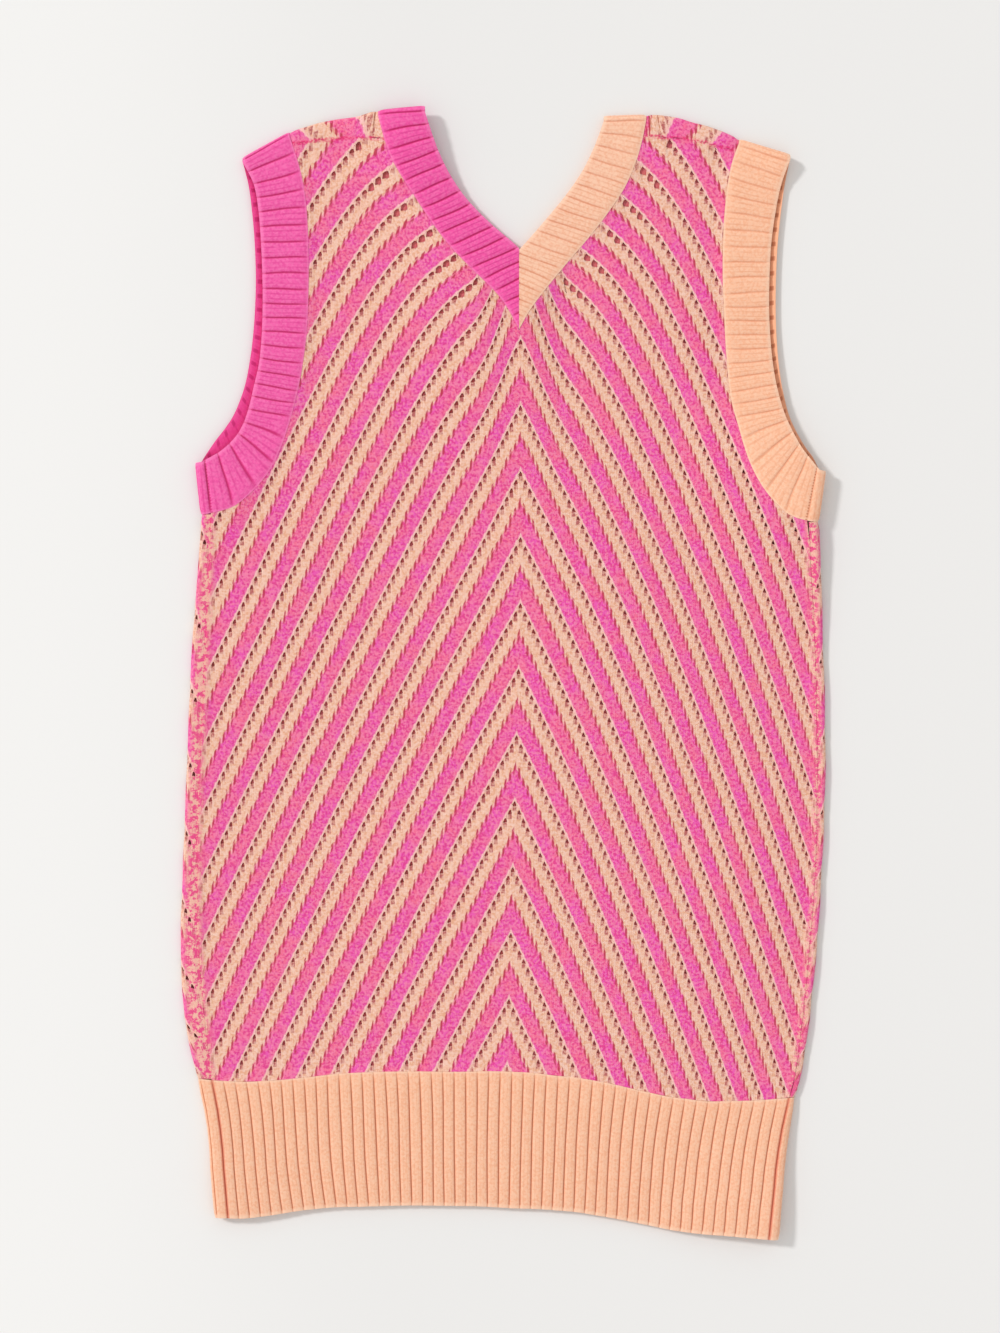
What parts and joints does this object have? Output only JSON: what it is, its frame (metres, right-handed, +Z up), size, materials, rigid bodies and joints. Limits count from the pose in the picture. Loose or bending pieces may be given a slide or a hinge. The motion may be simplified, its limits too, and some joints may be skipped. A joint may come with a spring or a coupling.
{
  "type": "knitted sweater vest",
  "caption": "Long sleeveless V-neck sweater vest in chevron lace knit with ribbed neck, armholes and hem, laid flat on its back.",
  "frame": {"origin": "on the surface the vest lies on, under the middle of its bounding box", "axes": "+Y from the hem to the shoulders, +X to the right as seen from above its front, +Z up off the surface"},
  "size_m": [0.4182, 0.7332, 0.0127],
  "materials": {
    "striped_knit": "chevron-striped lace knit, pink and peach orange yarn, matt",
    "pink_rib": "ribbed knit in pink yarn, matt",
    "orange_rib": "ribbed knit in peach orange yarn, matt"
  },
  "bodies": {
    "root": {"front_panel": "striped_knit", "back_panel": "striped_knit", "hem_rib_front": "orange_rib", "hem_rib_back": "orange_rib", "neckband_left": "pink_rib", "neckband_right": "orange_rib", "armhole_band_left": "pink_rib", "armhole_band_right": "orange_rib"}
  },
  "joints": []
}
